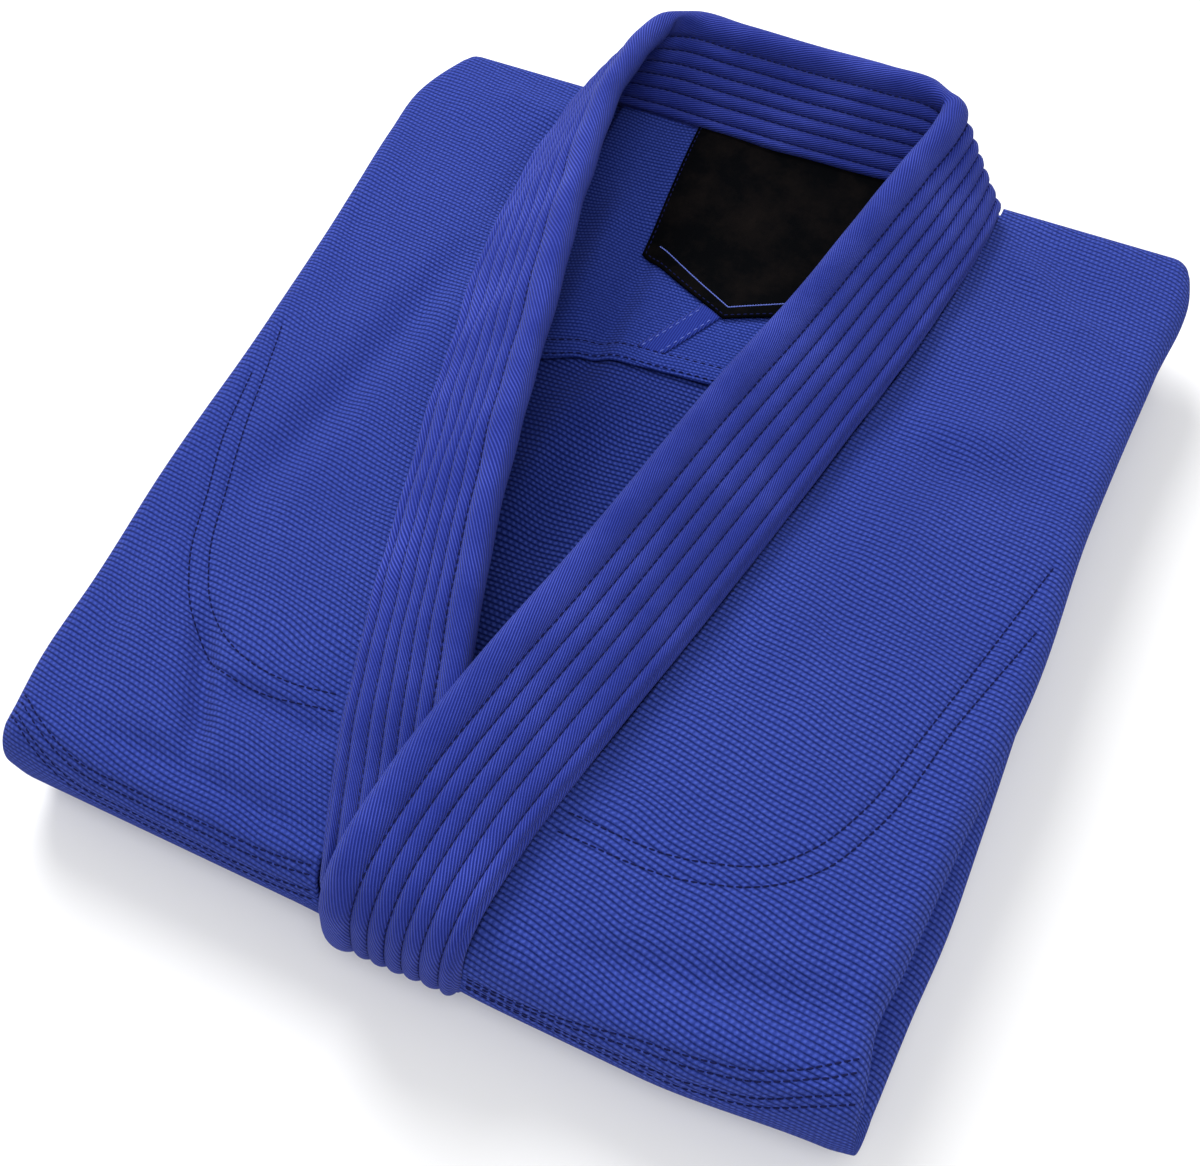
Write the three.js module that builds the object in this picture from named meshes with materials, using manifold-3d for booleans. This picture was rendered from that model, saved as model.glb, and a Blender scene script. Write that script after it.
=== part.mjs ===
// A martial arts jacket folded for the shelf: its sides and sleeves are folded behind its back, and its
// skirt is folded under its upper half along the waist. Millimetres, +Z up, the neck towards +Y, the
// wearer's left towards +X. The origin is the middle of the surface that the jacket lies on.
import * as THREE from 'three';
import Module from 'manifold-3d';

const wasm = await Module();
wasm.setup();

// ---- Driving dimensions -------------------------------------------------------------------------
const CLOTH = 2;             // pearl-weave body cloth
const LINING = 1.2;          // twill linings, tapes and facings
const GAP = 0.6;             // between cloths that lie on each other
const SEAM_GAP = 1.5;        // between a front's edge and its collar strip
const SHOULDER_Y = 360;      // the shoulder line; the waist fold's inner edge is at y = 0
const HEM_Y = 342;           // the skirt's hem lies under the shoulders
const START_Y = -14;         // where the upper cloths end in the waist fold, measured along the cloth
const SKIRT_START_Y = -5;    // where the skirt's cloths begin
const RETURN = 58;           // how far a folded side reaches back behind the body
const LAPEL_THICK = 8;
const TAIL_THICK = 7.4;      // the lapels' tails, pressed flat under the skirt
const COVER_WALL = 1.4;      // twill wrapped round the collar's core
const CORE_GAP = 0.4;        // between that cover and its core
const COLLAR_REACH = 383.8;  // the back of the neck band
const FOLD_REACH = -16.6;    // the front of the lapels where they turn round the waist fold
const WAIST_FOLD = { y: 12, z: 25 };  // the line that the upper half's cloths turn round

// The height of the middle of each layer, from the bottom of the pile to its top.
const LAYER = {
  skirtFront: 1, skirtBack: 6.8, skirtBackReturn: 12.5, skirtFrontReturn: 17.5, skirtCentreBack: 18.6,
  frontReturn: 27, backReturn: 31.5, sleeve: 28.4, back: 36.4, lining: 42.2, front: 45,
};

// ---- Lines of the jacket ------------------------------------------------------------------------
// A polyline: the value at a place, from [place, value] pairs.
function line(pairs) {
  return (at) => {
    const passed = pairs.filter(([place]) => place < at).length;
    const next = Math.min(pairs.length - 1, Math.max(1, passed));
    const [a, from] = pairs[next - 1];
    const [b, to] = pairs[next];
    return from + (to - from) * Math.min(1, Math.max(0, (at - a) / (b - a)));
  };
}

// A smooth step from 0 to 1.
function ease(t) {
  const c = Math.min(1, Math.max(0, t));
  return c * c * (3 - 2 * c);
}

const halfWidth = line([[-30, 148], [50, 154], [180, 159], [250, 165], [315, 172], [400, 169]]);
const leftSeam = line([[-30, 22], [35, 28], [95, 42], [224, 70], [325, 89], [400, 93]]);
const rightSeam = line([[-30, -20], [35, -40], [95, -58], [174, -77], [240, -91], [287, -97], [400, -98]]);
const NECK_RISE_Y = 285;     // the back rises from here to the neck seam
const NECK_SEAM_Y = 345;     // where the back meets the neck band
const NECK_RISE = 8;
const backHeight = line([[0, LAYER.back], [NECK_RISE_Y, LAYER.back], [NECK_SEAM_Y, LAYER.back + NECK_RISE]]);

// Turns a place in the upper half, laid flat, round the waist fold.
function turned(x, y, z) {
  const radius = z - WAIST_FOLD.z;
  const angle = Math.max(0, WAIST_FOLD.y - y) / (LAYER.front - WAIST_FOLD.z);
  const flatY = Math.max(y, WAIST_FOLD.y);
  return [x, flatY - radius * Math.sin(angle), WAIST_FOLD.z + radius * Math.cos(angle)];
}

// ---- Builders -----------------------------------------------------------------------------------
const group = new THREE.Group();
group.position.y = -(FOLD_REACH + COLLAR_REACH) / 2;

const BODY_BLUE = 0x2733a8;
const TWILL_BLUE = 0x3442c4;
const TAPE_BLUE = 0x1b2488;
const CORE_GREY = 0x22222a;
const LABEL_BLACK = 0x0d0b0c;

function add(name, geometry, colour, roughness = 0.9) {
  const material = new THREE.MeshStandardMaterial({ color: colour, roughness, metalness: 0 });
  const mesh = new THREE.Mesh(geometry, material);
  mesh.name = name;
  group.add(mesh);
}

// A cloth of even thickness whose middle is the surface at(u, v), u and v from 0 to 1.
function cloth(at, columns, rows, thickness) {
  const geometry = new THREE.BoxGeometry(1, 1, 1, columns, rows, 1);
  const place = geometry.attributes.position;
  const point = (u, v) => new THREE.Vector3(...at(u, v));
  const step = 1e-3;
  for (let i = 0; i < place.count; i++) {
    const u = place.getX(i) + 0.5;
    const v = place.getY(i) + 0.5;
    const across = point(Math.min(1, u + step), v).sub(point(Math.max(0, u - step), v));
    const along = point(u, Math.min(1, v + step)).sub(point(u, Math.max(0, v - step)));
    const out = point(u, v).addScaledVector(across.cross(along).normalize(), place.getZ(i) * thickness);
    place.setXYZ(i, out.x, out.y, out.z);
  }
  return geometry;
}

// A cloth between two edges, which are numbers or functions of y, at a height that may vary.
function sheet(left, right, fromY, toY, height, columns, rows, thickness = LINING) {
  const value = (edge, y) => (typeof edge === 'function' ? edge(y) : edge);
  return cloth((u, v) => {
    const y = fromY + (toY - fromY) * v;
    const x = value(left, y) + (value(right, y) - value(left, y)) * u;
    return turned(x, y, typeof height === 'function' ? height(x, y) : height);
  }, columns, rows, thickness);
}

// A padded strip between two edge curves, seam and rim: flat faces and half-round edges.
const EDGE_STEPS = 4;
const OVERRUN_LENGTH = 100;
function strip(seam, rim, fromT, toT, steps, thickness) {
  const section = [];
  for (let k = 0; k <= EDGE_STEPS; k++) {
    const angle = Math.PI * (k / EDGE_STEPS - 0.5);
    section.push([1, Math.cos(angle), Math.sin(angle)]);
  }
  for (let k = 0; k <= EDGE_STEPS; k++) {
    const angle = Math.PI * (k / EDGE_STEPS + 0.5);
    section.push([-1, Math.cos(angle), Math.sin(angle)]);
  }
  const sides = section.length;
  const places = [];
  const faces = [];
  for (let i = 0; i <= steps; i++) {
    const t = fromT + (toT - fromT) * i / steps;
    const within = Math.min(1, Math.max(0, t));
    const a = seam.getPoint(within);
    const b = rim.getPoint(within);
    const along = seam.getTangent(within).add(rim.getTangent(within)).normalize();
    const middle = a.clone().add(b).multiplyScalar(0.5);
    middle.addScaledVector(along, (t - within) * OVERRUN_LENGTH);
    const across = b.sub(a);
    const flat = across.length() / 2 - LAPEL_THICK / 2;
    across.normalize();
    const up = along.cross(across).normalize();
    for (const [end, c, s] of section) {
      const p = middle.clone().addScaledVector(across, end * flat + c * thickness / 2)
        .addScaledVector(up, s * thickness / 2);
      places.push(p.x, p.y, p.z);
    }
  }
  for (let i = 0; i < steps; i++) {
    for (let k = 0; k < sides; k++) {
      const a = i * sides + k;
      const b = i * sides + (k + 1) % sides;
      faces.push(a, b, b + sides, a, b + sides, a + sides);
    }
  }
  const last = steps * sides;
  for (let k = 1; k < sides - 1; k++) {
    faces.push(0, k + 1, k, last, last + k, last + k + 1);
  }
  const geometry = new THREE.BufferGeometry();
  geometry.setAttribute('position', new THREE.Float32BufferAttribute(places, 3));
  geometry.setIndex(faces);
  return geometry;
}

function solid(geometry) {
  const vertProperties = geometry.attributes.position.array;
  const outward = new Uint32Array(geometry.index.array);
  const made = new wasm.Manifold(new wasm.Mesh({ numProp: 3, vertProperties, triVerts: outward }));
  if (made.volume() > 0) return made;
  return new wasm.Manifold(new wasm.Mesh({ numProp: 3, vertProperties, triVerts: outward.reverse() }));
}

function geometryOf(manifold) {
  const mesh = manifold.getMesh();
  const geometry = new THREE.BufferGeometry();
  geometry.setAttribute('position', new THREE.Float32BufferAttribute(mesh.vertProperties, mesh.numProp));
  geometry.setIndex(Array.from(mesh.triVerts));
  return geometry;
}

// A cover of twill, open at both ends, and the core inside it.
const OVERRUN = 0.05;
const CORE_INSET = 0.01;
function padded(name, { seam, rim }, steps, thickness = LAPEL_THICK) {
  const outer = solid(strip(seam, rim, 0, 1, steps, thickness));
  const hollow = solid(strip(seam, rim, -OVERRUN, 1 + OVERRUN, steps + 2, thickness - 2 * COVER_WALL));
  const coreThickness = thickness - 2 * (COVER_WALL + CORE_GAP);
  const core = solid(strip(seam, rim, CORE_INSET, 1 - CORE_INSET, steps, coreThickness));
  add(`${name}_cover`, geometryOf(outer.subtract(hollow)), TWILL_BLUE);
  add(`${name}_core`, geometryOf(core.intersect(hollow)), CORE_GREY);
}

// ---- Upper half: body cloth ---------------------------------------------------------------------
const FRONT_SHARE = 0.5;
const BEND_SHARE = 0.3;

// A front's section at y: flat from its collar seam, round the folded side, and back behind the body.
function folded(u, seamX, edgeX, flatZ, returnZ) {
  const side = Math.sign(edgeX);
  const radius = (flatZ - returnZ) / 2;
  const bendX = edgeX - side * (Math.abs(radius) + CLOTH / 2);
  if (u <= FRONT_SHARE) return [seamX + (bendX - seamX) * u / FRONT_SHARE, flatZ];
  if (u <= FRONT_SHARE + BEND_SHARE) {
    const angle = Math.PI * (u - FRONT_SHARE) / BEND_SHARE;
    const x = bendX + side * Math.abs(radius) * Math.sin(angle);
    return [x, returnZ + radius * (1 + Math.cos(angle))];
  }
  const share = (u - FRONT_SHARE - BEND_SHARE) / (1 - FRONT_SHARE - BEND_SHARE);
  return [bendX - side * RETURN * share, returnZ];
}

const FRONT_GRID = [14, 10];
const TURN_ROWS = 0.4;
function upperFront(seam, side) {
  return cloth((u, v) => {
    const flatShare = (v - TURN_ROWS) / (1 - TURN_ROWS);
    const y = v < TURN_ROWS
      ? START_Y + (WAIST_FOLD.y - START_Y) * v / TURN_ROWS
      : WAIST_FOLD.y + (SHOULDER_Y - WAIST_FOLD.y) * flatShare;
    const [x, z] = folded(u, seam(y) + side * SEAM_GAP, side * halfWidth(y), LAYER.front, LAYER.frontReturn);
    return turned(x, y, z);
  }, ...FRONT_GRID, CLOTH);
}
add('left_front_panel', upperFront(leftSeam, 1), BODY_BLUE);
add('right_front_panel', upperFront(rightSeam, -1), BODY_BLUE);

// A back's section: flat across, with both folded sides turning behind it.
const BACK_INSET = 6;
const BACK_GRID = [32, 6];
const RETURN_SHARE = 0.1;
const TURN_SHARE = 0.15;
function backSection(u, y, flatZ, returnZ, rise) {
  const side = u < 0.5 ? -1 : 1;
  const inward = side < 0 ? u : 1 - u;
  const radius = (flatZ - returnZ) / 2;
  const bendX = halfWidth(y) - BACK_INSET - Math.abs(radius) - CLOTH / 2;
  if (inward < RETURN_SHARE) {
    const reach = (RETURN - BACK_INSET) * (1 - inward / RETURN_SHARE);
    return [side * (bendX - reach), y, returnZ];
  }
  if (inward < RETURN_SHARE + TURN_SHARE) {
    const angle = Math.PI * (inward - RETURN_SHARE) / TURN_SHARE;
    const x = bendX + Math.abs(radius) * Math.sin(angle);
    return [side * x, y, returnZ + radius * (1 - Math.cos(angle))];
  }
  const flat = (inward - RETURN_SHARE - TURN_SHARE) / (0.5 - RETURN_SHARE - TURN_SHARE);
  const x = side * bendX * (1 - flat);
  return [x, y, flatZ + rise(x, y)];
}

// Between the collar seams the back rises to meet the neck seam.
const NECK_HALF = 84;
const middleOf = (x) => 1 - ease((Math.abs(x) - NECK_HALF * 0.8) / (NECK_HALF * 0.2));
const neckRise = (x, y) => middleOf(x) * (backHeight(y) - LAYER.back);
const BACK_FOOT_Y = 14;
const BACK_TOP_Y = 346;
const backRow = line([[0, BACK_FOOT_Y], [1 / 3, 150], [2 / 3, NECK_RISE_Y], [1, BACK_TOP_Y]]);
add('back_panel', cloth((u, v) => {
  const y = backRow(v);
  return backSection(u, y, LAYER.back, LAYER.backReturn, neckRise);
}, ...BACK_GRID, CLOTH), BODY_BLUE);

// The shoulder yoke on each side turns down over the shoulder, from the front to the back.
const YOKE_TURN = 8;         // how far the yoke stands out behind the shoulder line
const YOKE_INSET = 4;        // from the collar seam and from the folded side
function shoulderYoke(seam, side) {
  const inner = seam(SHOULDER_Y) + side * YOKE_INSET;
  const outer = side * (halfWidth(SHOULDER_Y) - YOKE_INSET);
  const radius = (LAYER.front - LAYER.frontReturn) / 2;
  return cloth((u, v) => {
    const angle = Math.PI * v;
    const y = SHOULDER_Y + GAP + YOKE_TURN * Math.sin(angle);
    return [inner + (outer - inner) * u, y, LAYER.front - radius + radius * Math.cos(angle)];
  }, 2, 8, CLOTH);
}
add('left_shoulder_yoke', shoulderYoke(leftSeam, 1), BODY_BLUE);
add('right_shoulder_yoke', shoulderYoke(rightSeam, -1), BODY_BLUE);

// ---- Upper half: linings, tapes and label -------------------------------------------------------
const SEAM_INSET = 3;
const SIDE_INSET = 14;
const ARC_LOW_Y = 50;
const ARC_SIDE_Y = 205;
const LINING_TOP_Y = SHOULDER_Y - 4;
const WAIST_TAPE = [-10, 24]; // from and to, along the cloth
for (const [name, seam, side] of [['left', leftSeam, 1], ['right', rightSeam, -1]]) {
  const inner = (y) => seam(y) + side * SEAM_INSET;
  const outer = (y) => side * (halfWidth(y) - SIDE_INSET);
  // The chest lining ends in a curve that runs from the folded side down to the collar seam.
  const chest = cloth((u, v) => {
    const lowY = ARC_LOW_Y + (ARC_SIDE_Y - ARC_LOW_Y) * u ** 3;
    const y = lowY + (LINING_TOP_Y - lowY) * v;
    return [inner(y) + (outer(y) - inner(y)) * u, y, LAYER.lining];
  }, 8, 5, LINING);
  add(`${name}_chest_lining`, chest, TWILL_BLUE);
  add(`${name}_waist_seam_tape`, sheet(inner, outer, ...WAIST_TAPE, LAYER.lining, 2, 4), TAPE_BLUE);
}

// Inside the neck each layer lies on the last: back, yoke lining, tapes and label.
const YOKE_LIFT = CLOTH / 2 + GAP + LINING / 2;
const TAPE_LIFT = YOKE_LIFT + LINING + GAP / 2;
const YOKE_Y = 232;
const YOKE_HALF = 78;
const YOKE_TOP_Y = 344;
const EDGE_TAPE = 11;        // the width of both tapes
const EDGE_TAPE_Y = YOKE_Y - 2;
const EDGE_TAPE_RIGHT = YOKE_HALF - 8;
const CENTRE_TAPE = { from: YOKE_Y + 11, to: 266, fromX: -17, toX: -4 };
const onBack = (lift) => (x, y) => backHeight(y) + lift;
const yokeRow = line([[0, YOKE_Y], [0.5, NECK_RISE_Y], [1, YOKE_TOP_Y]]);
add('yoke_lining', cloth((u, v) => {
  const y = yokeRow(v);
  return [YOKE_HALF * (2 * u - 1), y, backHeight(y) + YOKE_LIFT];
}, 2, 4, LINING), TWILL_BLUE);
const edgeTape = sheet(-YOKE_HALF, EDGE_TAPE_RIGHT, EDGE_TAPE_Y, EDGE_TAPE_Y + EDGE_TAPE, onBack(TAPE_LIFT), 2, 1);
add('yoke_edge_tape', edgeTape, TAPE_BLUE);
const tapeCentre = line([[CENTRE_TAPE.from, CENTRE_TAPE.fromX], [CENTRE_TAPE.to, CENTRE_TAPE.toX]]);
const tapeEdge = (side) => (y) => tapeCentre(y) + side * EDGE_TAPE / 2;
const centreTape = sheet(tapeEdge(-1), tapeEdge(1), CENTRE_TAPE.from, CENTRE_TAPE.to, onBack(TAPE_LIFT), 1, 3);
add('centre_back_tape', centreTape, TWILL_BLUE);
const LABEL = { middle: 2, half: 44, top: 346, shoulder: 289, tip: 268, thick: 1 };
add('neck_label', cloth((u, v) => {
  const foot = LABEL.tip + (LABEL.shoulder - LABEL.tip) * Math.abs(2 * u - 1);
  const y = foot + (LABEL.top - foot) * v;
  return [LABEL.middle + LABEL.half * (2 * u - 1), y, backHeight(y) + TAPE_LIFT];
}, 4, 8, LABEL.thick), LABEL_BLACK);

// ---- Sleeves: folded lengthwise and laid down behind the back, between its folded sides -----------
const SLEEVE = { inner: 4, outer: 80, top: 344, cuff: 40, thick: 4 };
const CUFF_LENGTH = 30;
const CUFF_GAP = 0.4;
const CUFF_OVERRUN = 5;
const straight = (x, fromY, toY) => new THREE.LineCurve3(
  new THREE.Vector3(x, fromY, LAYER.sleeve), new THREE.Vector3(x, toY, LAYER.sleeve));
function sleeveTube(side, fromY, toY, grow) {
  const inner = straight(side * (SLEEVE.inner - grow), fromY, toY);
  const outer = straight(side * (SLEEVE.outer + grow), fromY, toY);
  return strip(inner, outer, 0, 1, 1, SLEEVE.thick + 2 * grow);
}
for (const [name, side] of [['left', 1], ['right', -1]]) {
  add(`${name}_sleeve`, sleeveTube(side, SLEEVE.cuff, SLEEVE.top, 0), BODY_BLUE);
  const end = SLEEVE.cuff + CUFF_LENGTH;
  const outside = solid(sleeveTube(side, SLEEVE.cuff, end, CUFF_GAP + LINING));
  const inside = solid(sleeveTube(side, SLEEVE.cuff - CUFF_OVERRUN, end + CUFF_OVERRUN, CUFF_GAP));
  add(`${name}_cuff`, geometryOf(outside.subtract(inside)), TWILL_BLUE);
}

// ---- Collar: neck band and lapels, a padded strip from its seam to its rim ------------------------
const through = (points) => new THREE.CatmullRomCurve3(
  points.map((p) => new THREE.Vector3(...p)), false, 'centripetal');
const LAPEL_STEPS = 9;
const SEAM_Z = 50.5;
const leftLapel = {
  seam: through([346, 325, 224, 95, 35, 8, -4, -14].map((y) => turned(leftSeam(y), y, SEAM_Z))),
  rim: through([[54, 358, 83], [49, 332, 80], [34, 265, 69], [21, 213, 68], [2, 123, 66], [-10, 78, 64],
    [-18, 32, 60], [-22, 8, 56], turned(-23, -4, 53), turned(-24, -14, 51)]),
};
const rightSeamZ = line([[-30, 42], [10, 42.5], [60, 46.5], [130, 50], [400, 50.5]]);
const rightLapel = {
  seam: through([346, 325, 224, 140, 95, 50, 12].map((y) => [rightSeam(y), y, rightSeamZ(y)])),
  rim: through([[-63, 350, 88], [-63, 329, 88], [-50, 232, 81], [-36, 150, 69], [-22, 105, 58], [0, 60, 47],
    [18, 16, 42.5]]),
};
const neckBand = {
  seam: through([[-92, 352, 50.5], [-70, 355, 50], [-38, 356, 49.5], [0, 356, 49.5], [40, 356, 49.5],
    [70, 355, 50], [87, 352, 50.5]]),
  rim: through([[-62, 358, 88.5], [-58, 372, 86], [-38, 381, 83.5], [0, 382, 83], [36, 381, 83],
    [52, 377, 83.5], [55, 365, 83.5]]),
};
padded('left_lapel', leftLapel, LAPEL_STEPS);
padded('right_lapel', rightLapel, LAPEL_STEPS);
padded('neck_band', neckBand, LAPEL_STEPS);

// ---- Skirt, folded under: fronts at the bottom, back on top ---------------------------------------
const TAIL_END = HEM_Y - 2;
const TAIL_CENTRE = { left: TAIL_THICK / 2, right: TAIL_THICK * 1.5 + GAP };
const leftTailSeam = line([[-10, 24], [HEM_Y, 14]]);
const rightTailSeam = line([[-10, -24], [HEM_Y, -14]]);
const TAIL_WIDTH = 47;
function tail(seam, side, height) {
  const edge = (shift) => through([SKIRT_START_Y + 4, TAIL_END / 2, TAIL_END].map(
    (y) => [seam(y) - side * shift, y, height]));
  return { seam: edge(0), rim: edge(TAIL_WIDTH) };
}
padded('left_lapel_tail', tail(leftTailSeam, 1, TAIL_CENTRE.left), 2, TAIL_THICK);
padded('right_lapel_tail', tail(rightTailSeam, -1, TAIL_CENTRE.right), 2, TAIL_THICK);

// The right front climbs over the left lapel's tail to its own lapel.
const CLIMB = { from: -48, to: -32 };
const climb = (x) => (TAIL_CENTRE.right - LAYER.skirtFront) * ease((x - CLIMB.from) / (CLIMB.to - CLIMB.from));
function skirtFront(seam, side, lift) {
  return cloth((u, v) => {
    const y = SKIRT_START_Y + (HEM_Y - SKIRT_START_Y) * v;
    const edge = side * halfWidth(y);
    const [x, z] = folded(u, seam(y) + side * SEAM_GAP, edge, LAYER.skirtFront, LAYER.skirtFrontReturn);
    return [x, y, z + (u < FRONT_SHARE ? lift(x) : 0)];
  }, 20, 4, CLOTH);
}
add('skirt_left_front', skirtFront(leftTailSeam, 1, () => 0), BODY_BLUE);
add('skirt_right_front', skirtFront(rightTailSeam, -1, climb), BODY_BLUE);

// Over the lapels' tails the skirt's back rises above them.
const BACK_CLIMB = { from: 40, to: 60 };
const backClimb = (x) => (LAYER.skirtCentreBack - LAYER.skirtBack)
  * (1 - ease((Math.abs(x) - BACK_CLIMB.from) / (BACK_CLIMB.to - BACK_CLIMB.from)));
add('skirt_back', cloth((u, v) => {
  const y = HEM_Y * v;
  return backSection(u, y, LAYER.skirtBack, LAYER.skirtBackReturn, backClimb);
}, 40, 4, CLOTH), BODY_BLUE);

// Hem facings lie on the inner side of the cloth that they finish.
const HEM = { deep: 24, from: HEM_Y - 25, inner: 30, outer: 150, climbClear: 16 };
const BACK_HEM = { half: 26, thick: 0.8, clear: 0.1 };
const FACING_LIFT = CLOTH / 2 + GAP / 2 + LINING / 2;
const hemTo = HEM.from + HEM.deep;
const hemFront = (inner, outer) => sheet(inner, outer, HEM.from, hemTo, LAYER.skirtFront + FACING_LIFT, 2, 1);
add('left_front_hem', hemFront(HEM.inner, HEM.outer), TWILL_BLUE);
add('right_front_hem', hemFront(-HEM.outer, CLIMB.from - HEM.climbClear), TWILL_BLUE);
const backHemZ = LAYER.skirtCentreBack - FACING_LIFT + BACK_HEM.clear;
const backHem = sheet(-BACK_HEM.half, BACK_HEM.half, HEM.from, hemTo, backHemZ, 2, 1, BACK_HEM.thick);
add('back_hem', backHem, TWILL_BLUE);

export default group;
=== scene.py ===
"""A folded martial arts jacket: pearl-weave body, padded and quilted collar, label and stitched seams.

Places are in millimetres in the jacket's own frame: x towards the wearer's left, y from the waist fold's
inner edge to the shoulders, z up from the surface that the jacket lies on. make_mesh turns them into metres.
"""
import math

import bpy
import numpy as np
from mathutils import Matrix, Vector

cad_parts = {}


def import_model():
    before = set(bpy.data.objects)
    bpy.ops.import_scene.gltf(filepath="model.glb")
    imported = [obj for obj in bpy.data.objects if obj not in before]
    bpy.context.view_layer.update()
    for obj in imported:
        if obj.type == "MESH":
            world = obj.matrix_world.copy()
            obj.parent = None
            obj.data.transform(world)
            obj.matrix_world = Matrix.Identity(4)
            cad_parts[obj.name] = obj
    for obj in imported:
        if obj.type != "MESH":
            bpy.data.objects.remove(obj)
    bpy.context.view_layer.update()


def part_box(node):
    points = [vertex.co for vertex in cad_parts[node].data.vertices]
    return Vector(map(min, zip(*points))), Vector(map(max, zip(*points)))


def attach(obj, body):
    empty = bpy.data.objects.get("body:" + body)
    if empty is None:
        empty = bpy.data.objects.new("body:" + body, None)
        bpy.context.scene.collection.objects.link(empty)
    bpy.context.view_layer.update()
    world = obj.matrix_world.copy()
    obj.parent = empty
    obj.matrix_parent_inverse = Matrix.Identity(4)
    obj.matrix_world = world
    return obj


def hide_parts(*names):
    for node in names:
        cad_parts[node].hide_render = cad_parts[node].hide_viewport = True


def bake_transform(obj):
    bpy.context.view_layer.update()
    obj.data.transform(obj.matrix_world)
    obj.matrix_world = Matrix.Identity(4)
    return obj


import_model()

MM = 0.001
UPPER = "upper_half"
SKIRT = "skirt"
SHOULDER_Y = 360.0
# The jacket's y = 0 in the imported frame: the front panel's top edge is the shoulder line.
ORIGIN_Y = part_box("left_front_panel")[1][1] - SHOULDER_Y * MM

# ---- Driving sizes ------------------------------------------------------------------------------
FOLD_Y = 10.0            # the line that the fronts turn round at the waist fold
FOLD_Z = 23.0
HEM_Y = 342.0
LAPEL_WIDTH = 50.0
QUILT_ROWS = [5.0, 12.2, 18.6, 25.0, 31.4, 37.8]   # stitch rows, from the collar's seam
PIPING_FROM = 0.4        # where the narrow welt beside the seam starts
ROLL_FROM = QUILT_ROWS[-1]


def world(points):
    """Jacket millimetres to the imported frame's metres."""
    moved = np.asarray(points, float) * MM
    moved[..., 1] += ORIGIN_Y
    return moved


def curve_through(places, values, at):
    """A smooth curve through values at places, by cubic Hermite pieces with slopes from np.gradient."""
    places = np.asarray(places, float)
    values = np.asarray(values, float)
    slopes = np.gradient(values, places, axis=0)
    at = np.clip(at, places[0], places[-1])
    i = np.clip(np.searchsorted(places, at) - 1, 0, len(places) - 2)
    width = places[i + 1] - places[i]
    t = (at - places[i]) / width
    if values.ndim > 1:
        t = t[..., None]
        width = width[..., None]
    ends = (2 * t**3 - 3 * t**2 + 1) * values[i] + (3 * t**2 - 2 * t**3) * values[i + 1]
    return ends + width * ((t**3 - 2 * t**2 + t) * slopes[i] + (t**3 - t**2) * slopes[i + 1])


def smooth(value):
    t = np.clip(value, 0.0, 1.0)
    return t * t * (3 - 2 * t)


def ridge(x, y, start, end, width, height):
    """A soft fold from start to end: a bell across it, fading at both ends."""
    (ax, ay), (bx, by) = start, end
    length = math.hypot(bx - ax, by - ay)
    ux, uy = (bx - ax) / length, (by - ay) / length
    along = (x - ax) * ux + (y - ay) * uy
    across = -(x - ax) * uy + (y - ay) * ux
    fade = smooth(along / (0.3 * length)) * smooth((length - along) / (0.3 * length))
    return height * np.exp(-(across / width) ** 2) * fade


# ---- Meshes -------------------------------------------------------------------------------------
def make_mesh(name, vertices, faces, uv=None):
    mesh = bpy.data.meshes.new(name)
    mesh.from_pydata(world(vertices).tolist(), [], faces)
    mesh.polygons.foreach_set("use_smooth", [True] * len(mesh.polygons))
    if uv is not None:
        layer = mesh.uv_layers.new(name="cloth")
        loops = np.zeros(len(mesh.loops), np.int32)
        mesh.loops.foreach_get("vertex_index", loops)
        layer.data.foreach_set("uv", (np.asarray(uv)[loops] * MM).ravel())
    mesh.validate()
    mesh.update()
    piece = bpy.data.objects.new(name, mesh)
    bpy.context.collection.objects.link(piece)
    return piece


def grid_faces(rows, columns, wrap=False, flip=False):
    faces = []
    for i in range(rows - 1):
        for j in range(columns if wrap else columns - 1):
            a = i * columns + j
            b = i * columns + (j + 1) % columns
            face = (a, b, b + columns, a + columns)
            faces.append(face[::-1] if flip else face)
    return faces


def grid_piece(name, points, uv, flip=False):
    rows, columns = points.shape[:2]
    return make_mesh(name, points.reshape(-1, 3), grid_faces(rows, columns, flip=flip), uv.reshape(-1, 2))


def arc_lengths(points, axis):
    steps = np.linalg.norm(np.diff(points, axis=axis), axis=-1)
    zero = np.zeros_like(np.take(steps, [0], axis=axis))
    return np.concatenate([zero, np.cumsum(steps, axis=axis)], axis=axis)


def normals_of(points):
    across = np.gradient(points, axis=1)
    along = np.gradient(points, axis=0)
    normal = np.cross(across, along)
    return normal / np.maximum(np.linalg.norm(normal, axis=-1, keepdims=True), 1e-9)


def finish_piece(piece, material, nodes, body=UPPER, crosses=False):
    piece.data.materials.append(material)
    if crosses:
        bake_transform(piece)
    else:
        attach(piece, body)
    if nodes:
        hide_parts(*nodes)
    return piece


# ---- Outlines -----------------------------------------------------------------------------------
LEFT_SEAM = ([-30, 35, 95, 157, 224, 309, 325, 361], [23, 27, 41, 55, 69, 84.5, 86, 90])
RIGHT_SEAM = ([-30, 8, 35, 76, 107, 174, 198, 240, 287, 361],
              [-20, -27, -39, -52, -61, -77, -83, -92, -98, -98])
LEFT_EDGE = ([-30, 1, 15, 31, 45, 90, 120, 155, 222, 262, 306, 352, 370],
             [150, 149, 147, 145, 147, 152, 156, 160, 162, 165, 169, 173, 169])
RIGHT_EDGE = ([-30, 0, 29, 63, 100, 140, 183, 229, 266, 306, 336, 370],
              [-148, -150, -155, -157, -160, -162, -164, -167, -170, -173, -174, -162])
SKIRT_LEFT_EDGE = ([-30, 4, 17, 43, 72, 102, 150, 200, 342], [153, 154, 155, 157, 160, 161, 162, 163, 168])
SKIRT_RIGHT_EDGE = ([-30, 14, 60, 180, 342], [-147, -151, -155, -159, -165])
TAIL_LEFT_SEAM = ([-30, 342], [23, 14])
TAIL_RIGHT_SEAM = ([-30, 342], [-20, -14])


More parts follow.
